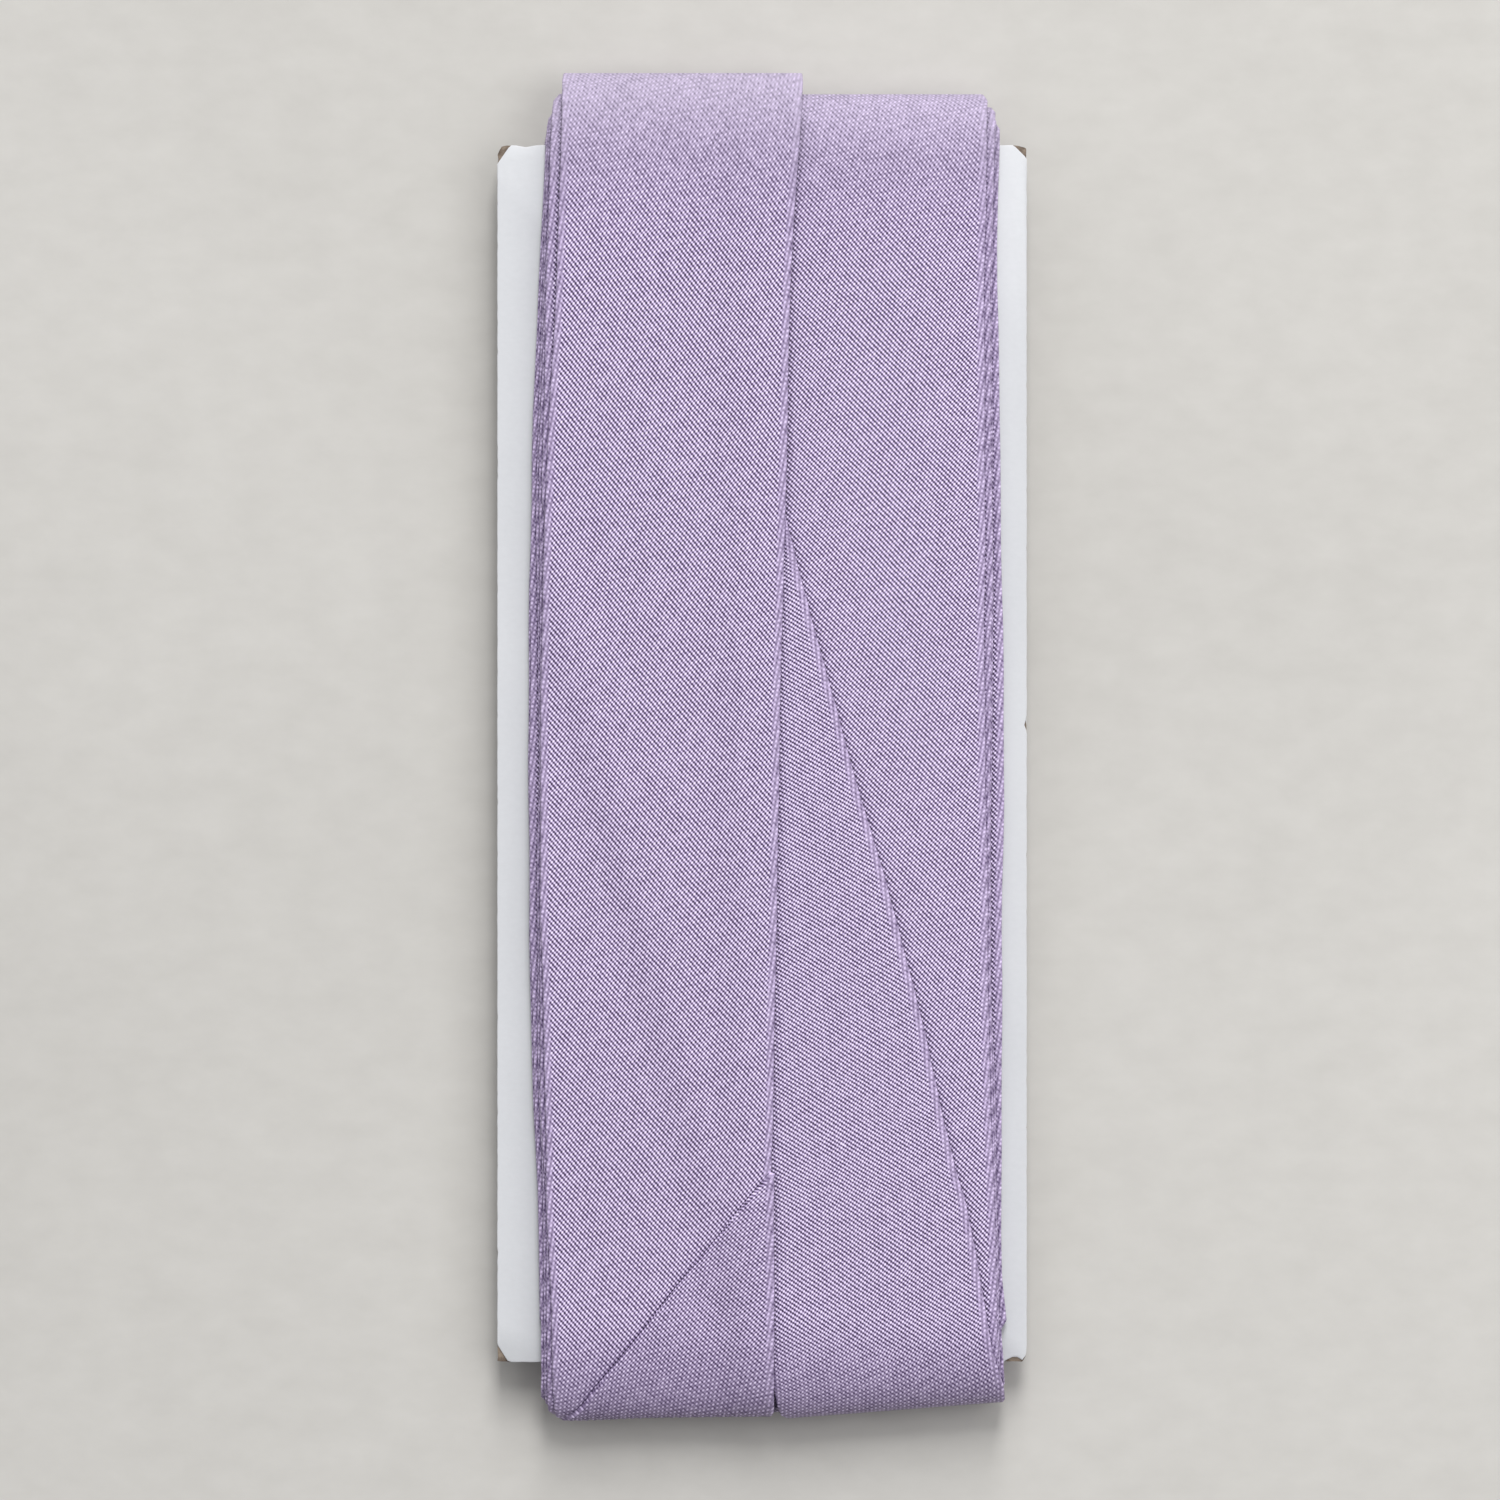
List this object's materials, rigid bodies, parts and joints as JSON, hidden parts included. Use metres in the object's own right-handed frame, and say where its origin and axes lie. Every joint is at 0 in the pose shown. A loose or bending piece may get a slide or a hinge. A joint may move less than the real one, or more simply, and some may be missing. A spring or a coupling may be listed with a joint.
{
  "type": "bias binding wound on a card",
  "caption": "Lilac cotton bias binding with pressed-in edges, wound lengthwise round a white-lined card in two flat columns, one strap slanting across.",
  "frame": {"origin": "centre of the outline on the surface it rests on, card and end loops included", "axes": "+X to the right and +Y to the top of the front face, along the card; +Z out of the front face, up when it lies on its back"},
  "size_m": [0.0552, 0.14, 0.0083],
  "materials": {
    "card": "white-lined board with a brown core, matt",
    "cotton": "plain-weave lilac cotton cut on the bias, pressed, matt"
  },
  "bodies": {
    "root": {"card": "card", "binding": "cotton"}
  },
  "joints": []
}
